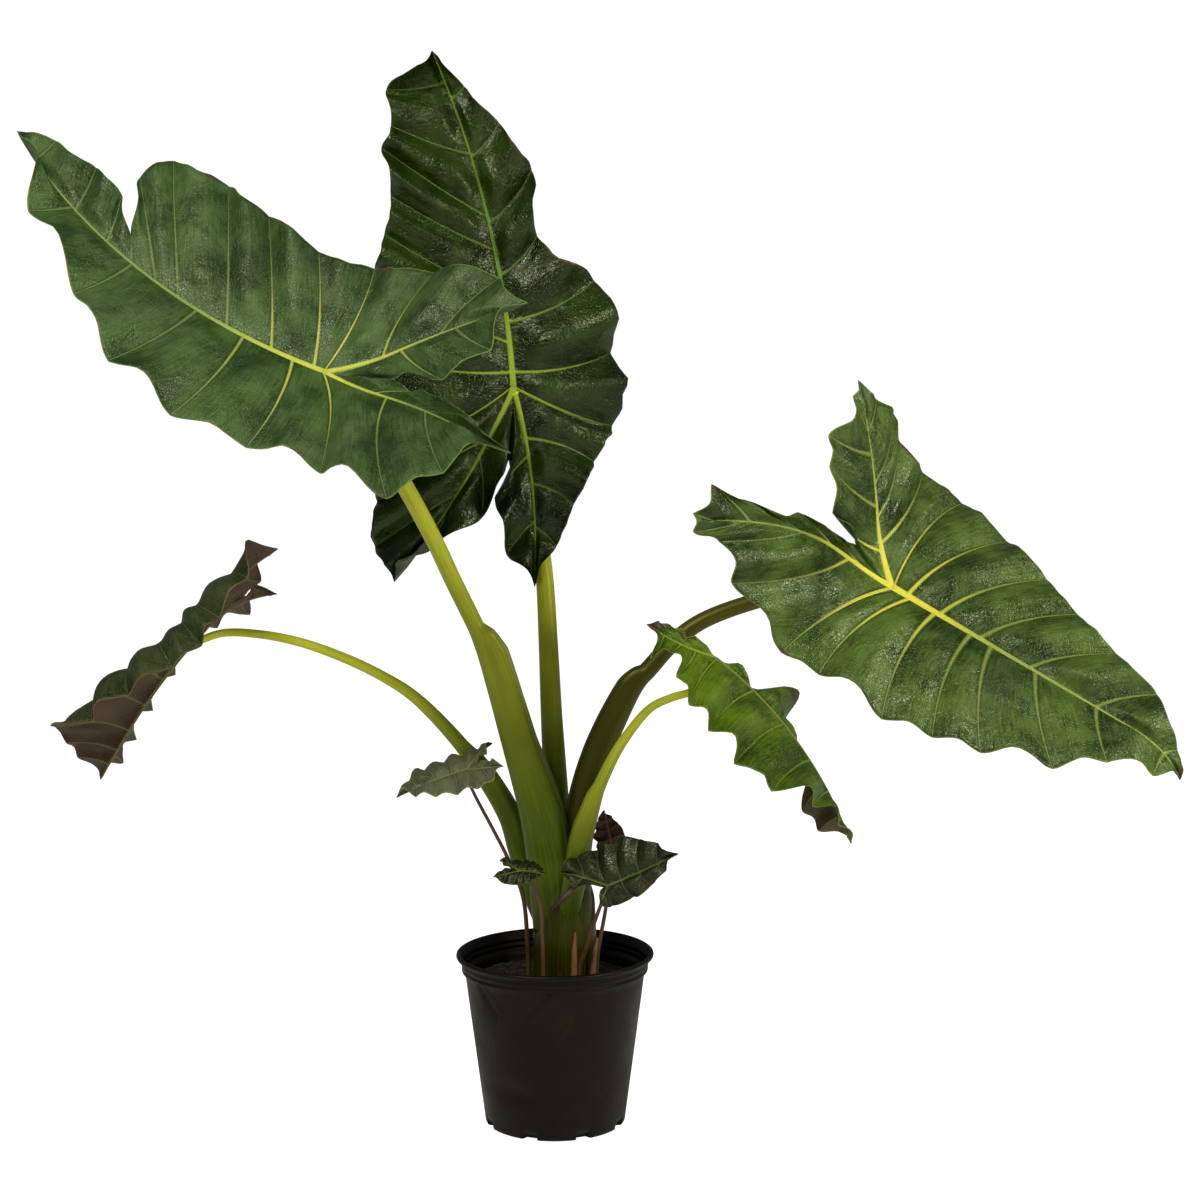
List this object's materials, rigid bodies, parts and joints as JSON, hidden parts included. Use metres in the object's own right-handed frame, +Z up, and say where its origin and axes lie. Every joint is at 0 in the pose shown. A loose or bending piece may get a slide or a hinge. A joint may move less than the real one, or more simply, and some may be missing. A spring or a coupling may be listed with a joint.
{
  "type": "potted house plant",
  "caption": "Potted aroid house plant with large arrow-shaped quilted leaves on thick curved stalks, small offsets at its foot, in a round black nursery pot.",
  "frame": {"origin": "centre of the pot's flat bottom, on the surface it stands on", "axes": "+Z up along the pot's axis, X to the right and Y away from the viewer as the picture is taken"},
  "size_m": [1.4629, 0.5373, 1.4308],
  "materials": {
    "pot_plastic": "black blow-moulded plastic, satin",
    "soil": "moist peat and bark mix, matt",
    "sheath": "green sheath bases, satin",
    "petiole": "pale green petiole, satin",
    "petiole_dark": "olive petiole, satin",
    "leaf": "green leaf, satin",
    "leaf_dark": "dark green leaf, glossy",
    "leaf_young": "bright green leaf, satin",
    "leaf_grey": "grey green leaf, matt",
    "maroon_leaf": "dark maroon leaf underside, matt",
    "brown_stalk": "brown young stalk, satin"
  },
  "bodies": {
    "root": {"pot": "pot_plastic", "potting_mix": "soil", "stem": "sheath", "petiole_a": "petiole", "petiole_b": "petiole", "petiole_c": "petiole_dark", "petiole_d": "petiole", "petiole_e": "petiole", "blade_a": "leaf", "blade_b": "leaf_dark", "blade_c": "leaf", "blade_d": "leaf", "blade_e": "leaf_young", "offset_1_blade": "leaf_grey", "offset_1_stalk": "brown_stalk", "offset_2_blade": "leaf", "offset_2_stalk": "brown_stalk", "offset_3_blade": "leaf", "offset_3_stalk": "brown_stalk", "offset_4_blade": "maroon_leaf", "offset_4_stalk": "brown_stalk", "bract_1": "brown_stalk", "bract_2": "brown_stalk", "dried_leaf": "brown_stalk"}
  },
  "joints": []
}
